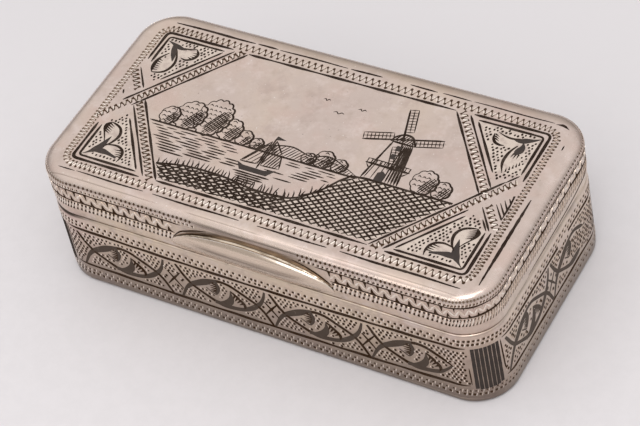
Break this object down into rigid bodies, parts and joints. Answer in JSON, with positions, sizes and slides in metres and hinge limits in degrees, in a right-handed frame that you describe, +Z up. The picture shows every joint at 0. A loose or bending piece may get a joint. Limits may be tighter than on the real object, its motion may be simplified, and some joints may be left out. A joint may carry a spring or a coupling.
{
  "type": "snuff box",
  "caption": "Rectangular silver snuff box with rounded corners, a lid on a back hinge, a crescent thumbpiece and dark inlaid ornament; it holds snuff or small keepsakes.",
  "frame": {"origin": "middle of the flat underside", "axes": "+X along the long side, +Y towards the hinge at the back, -Y towards the thumbpiece, +Z up"},
  "size_m": [0.076, 0.0401, 0.0226],
  "materials": {
    "silver": "warm, softly worn and lightly tarnished silver",
    "gilt": "thin worn gilding on the inside",
    "niello": "grey-black inlay with a dull sheen",
    "steel": "drawn wire"
  },
  "bodies": {
    "base": {"base_floor": "silver", "base_wall": "silver", "base_lip": "gilt", "base_hinge_bearer": "gilt", "base_knuckle_1": "silver", "base_knuckle_2": "silver", "base_knuckle_3": "silver", "base_knuckle_4": "silver", "base_knuckle_5": "silver", "hinge_pin": "steel", "hinge_plug_left": "silver", "hinge_plug_right": "silver"},
    "lid": {"lid_plate": "silver", "lid_wall": "silver", "lid_hinge_bearer": "gilt", "lid_knuckle_1": "silver", "lid_knuckle_2": "silver", "lid_knuckle_3": "silver", "lid_knuckle_4": "silver", "thumbpiece": "silver"}
  },
  "joints": [
    {"name": "lid_hinge", "type": "hinge", "parent": "base", "child": "lid", "pos_m": [0, 0.01875, 0.0147], "axis": [-1, 0, 0], "range_deg": [0, 105]}
  ]
}
